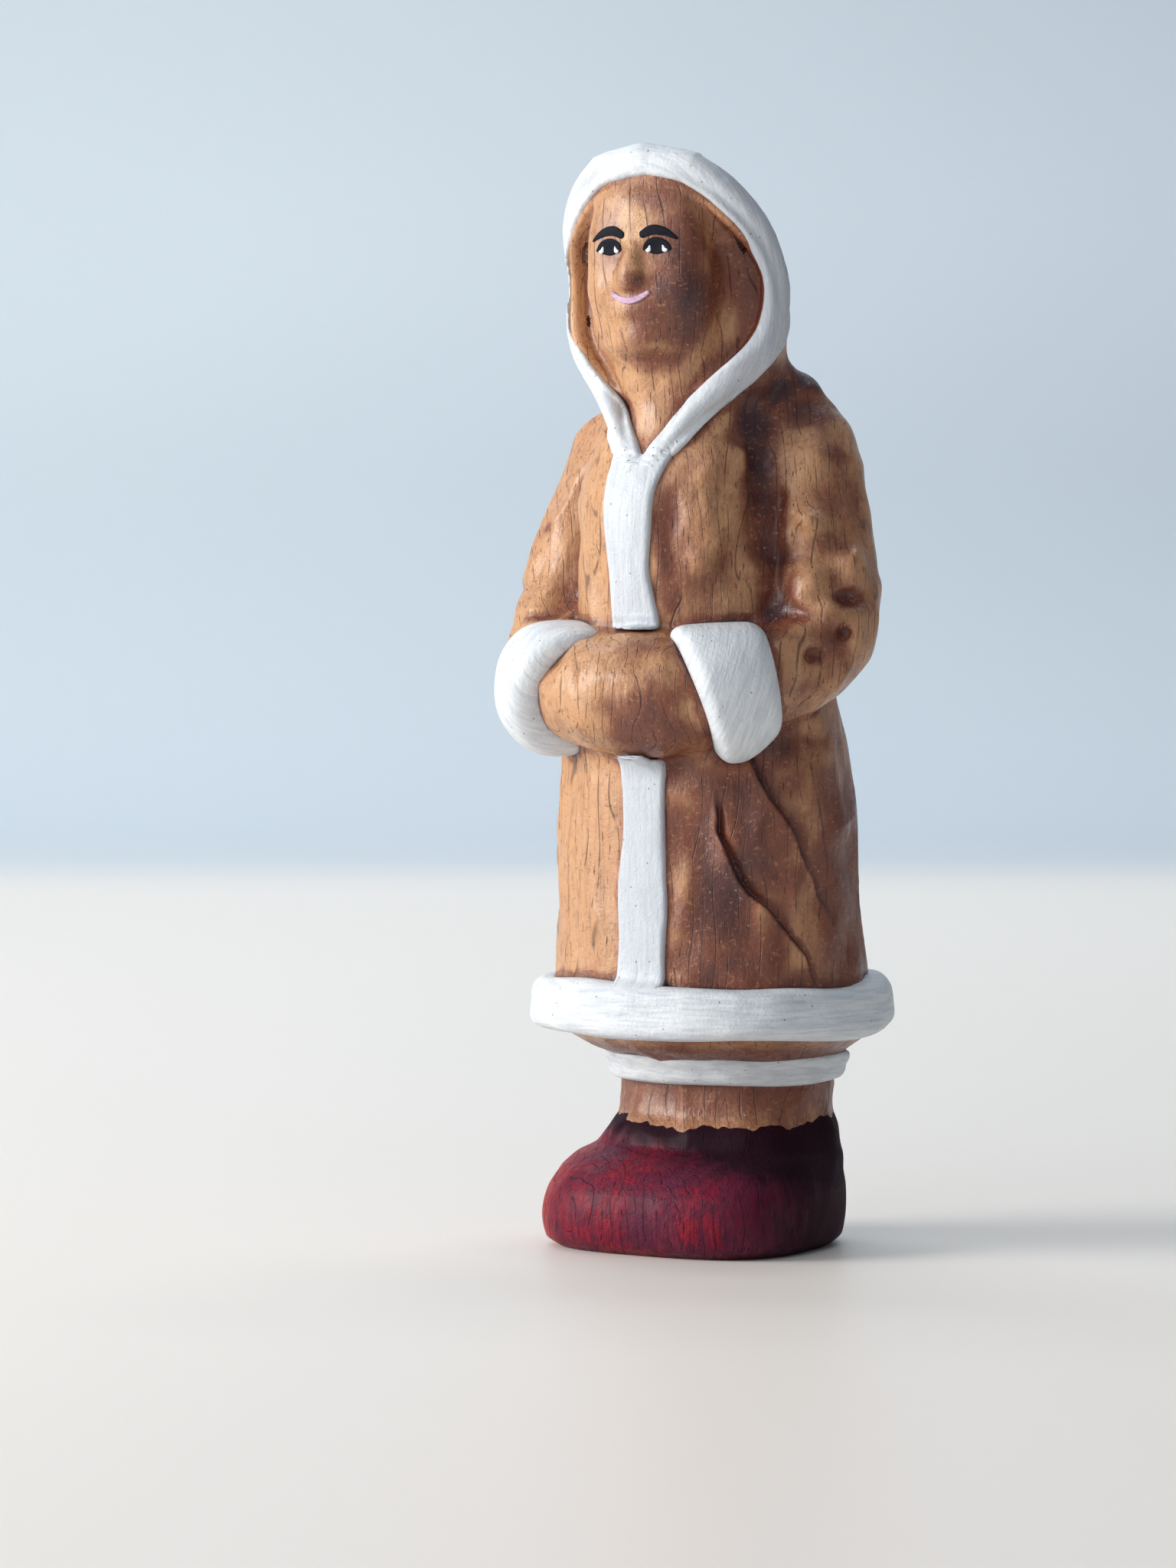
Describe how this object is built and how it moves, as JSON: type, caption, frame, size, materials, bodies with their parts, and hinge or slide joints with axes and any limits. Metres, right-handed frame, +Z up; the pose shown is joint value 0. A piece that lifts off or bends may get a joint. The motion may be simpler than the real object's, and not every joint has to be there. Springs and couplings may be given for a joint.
{
  "type": "carved wooden figurine",
  "caption": "Hand-carved, painted wooden figurine of a standing figure in a hooded, fur-trimmed coat, hands clasped, on a flat-soled boot block.",
  "frame": {"origin": "on the flat sole plane, under the middle of the coat", "axes": "+Z up along the height of the figure, the figure faces -Y, its left hand is on +X"},
  "size_m": [0.0426, 0.0379, 0.115],
  "materials": {
    "stained_wood": "carved beech-like wood, stained tan to red-brown with a darker glaze in the hollows, satin",
    "red_stained_wood": "carved wood under a dark red translucent stain that turns purple-black on top, satin",
    "white_painted_wood": "carved wood under brushed off-white paint, matt to satin, with grey brush streaks",
    "dark_paint": "hand-painted blue-black strokes, satin",
    "eye_white_paint": "hand-painted white touches, satin",
    "lip_paint": "hand-painted lilac-pink stroke, satin"
  },
  "bodies": {
    "root": {"boots": "red_stained_wood", "legs": "stained_wood", "underskirt": "stained_wood", "coat": "stained_wood", "left_sleeve": "stained_wood", "right_sleeve": "stained_wood", "mittens": "stained_wood", "hood": "stained_wood", "head": "stained_wood", "underskirt_band": "white_painted_wood", "hem_band": "white_painted_wood", "lower_placket": "white_painted_wood", "upper_placket": "white_painted_wood", "left_cuff": "white_painted_wood", "right_cuff": "white_painted_wood", "hood_trim": "white_painted_wood", "left_eyebrow": "dark_paint", "right_eyebrow": "dark_paint", "left_eye": "dark_paint", "right_eye": "dark_paint", "left_eye_whites": "eye_white_paint", "right_eye_whites": "eye_white_paint", "mouth": "lip_paint"}
  },
  "joints": []
}
